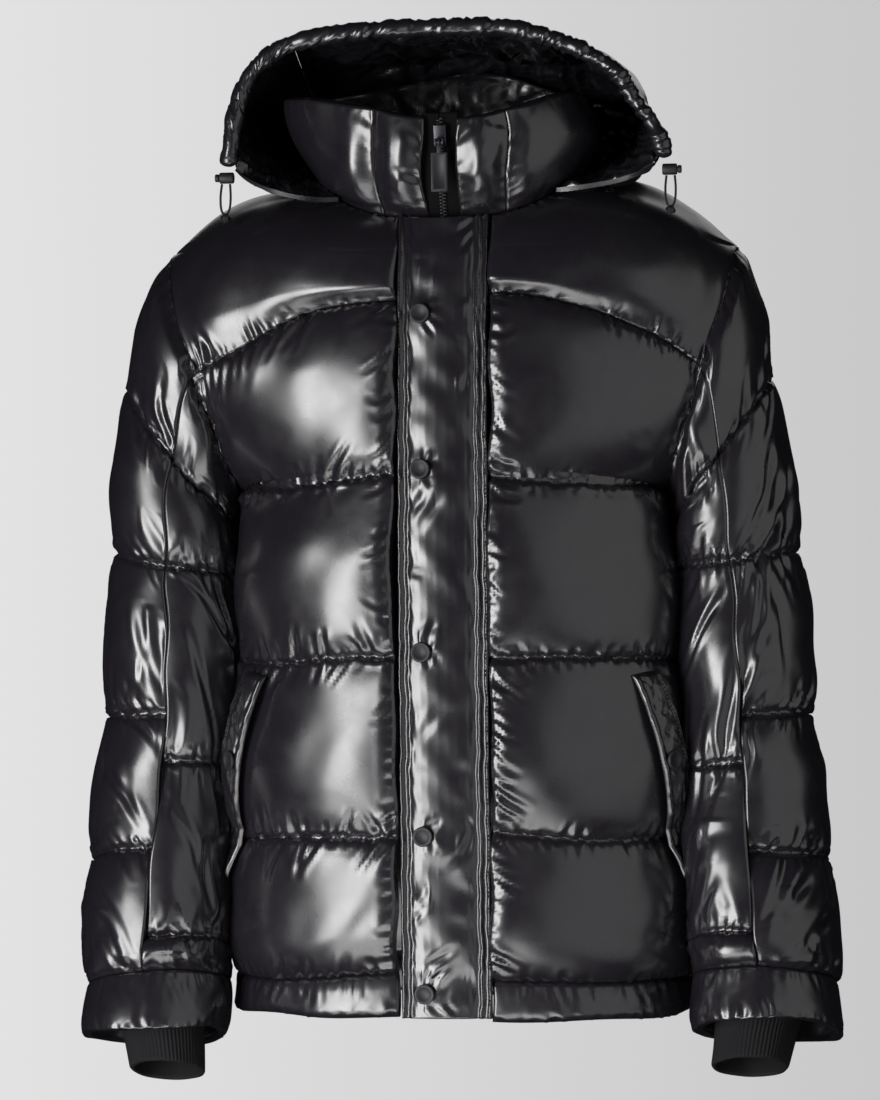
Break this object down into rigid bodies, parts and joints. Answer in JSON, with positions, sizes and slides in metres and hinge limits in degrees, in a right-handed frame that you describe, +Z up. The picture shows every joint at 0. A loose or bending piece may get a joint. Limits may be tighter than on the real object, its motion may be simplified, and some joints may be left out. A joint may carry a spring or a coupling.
{
  "type": "puffer jacket",
  "caption": "Hooded puffer jacket in glossy coated nylon, filled out as if worn, hollow, with a storm flap over the zip, slanted pockets, knitted cuffs and a stand collar.",
  "frame": {"origin": "middle of the neck opening, where the wearer's neck and shoulders hold the jacket", "axes": "+Z up along the wearer, -Y to the front, +X to the wearer's left"},
  "size_m": [0.6026, 0.2717, 0.8448],
  "materials": {
    "shell_nylon": "glossy coated nylon",
    "rib_knit": "matt rib knit",
    "zip_tape": "woven tape",
    "drawcord": "braided cord",
    "plastic": "satin moulded",
    "metal": "gunmetal"
  },
  "bodies": {
    "jacket": {"back": "shell_nylon", "back_yoke": "shell_nylon", "collar": "shell_nylon", "collar_flap_left": "shell_nylon", "collar_flap_right": "shell_nylon", "cord_lock_left": "plastic", "cord_lock_right": "plastic", "cuff_band_left": "shell_nylon", "cuff_band_right": "shell_nylon", "drawcord_knot_left": "drawcord", "drawcord_knot_right": "drawcord", "drawcord_left": "drawcord", "drawcord_right": "drawcord", "front_left": "shell_nylon", "front_right": "shell_nylon", "front_yoke_left": "shell_nylon", "front_yoke_right": "shell_nylon", "hem_casing_back": "shell_nylon", "hem_casing_front_left": "shell_nylon", "hem_casing_front_right": "shell_nylon", "hood_casing": "shell_nylon", "hood_centre": "shell_nylon", "hood_side_left": "shell_nylon", "hood_side_right": "shell_nylon", "placket": "shell_nylon", "placket_stud_1": "plastic", "placket_stud_2": "plastic", "placket_stud_3": "plastic", "placket_stud_4": "plastic", "placket_stud_5": "plastic", "pocket_stud_left": "plastic", "pocket_stud_right": "plastic", "pocket_welt_left": "shell_nylon", "pocket_welt_right": "shell_nylon", "rib_cuff_left": "rib_knit", "rib_cuff_right": "rib_knit", "sleeve_outer_left": "shell_nylon", "sleeve_outer_right": "shell_nylon", "sleeve_under_left": "shell_nylon", "sleeve_under_right": "shell_nylon", "zip_slider": "metal", "zip_tape_left": "zip_tape", "zip_tape_right": "zip_tape"},
    "zip_pull": {"zip_pull": "plastic"}
  },
  "joints": [
    {"name": "zip_pull_hinge", "type": "hinge", "parent": "jacket", "child": "zip_pull", "pos_m": [0, -0.11926, 0.04626], "axis": [-1, 0, 0], "range_deg": [0, 120]}
  ]
}
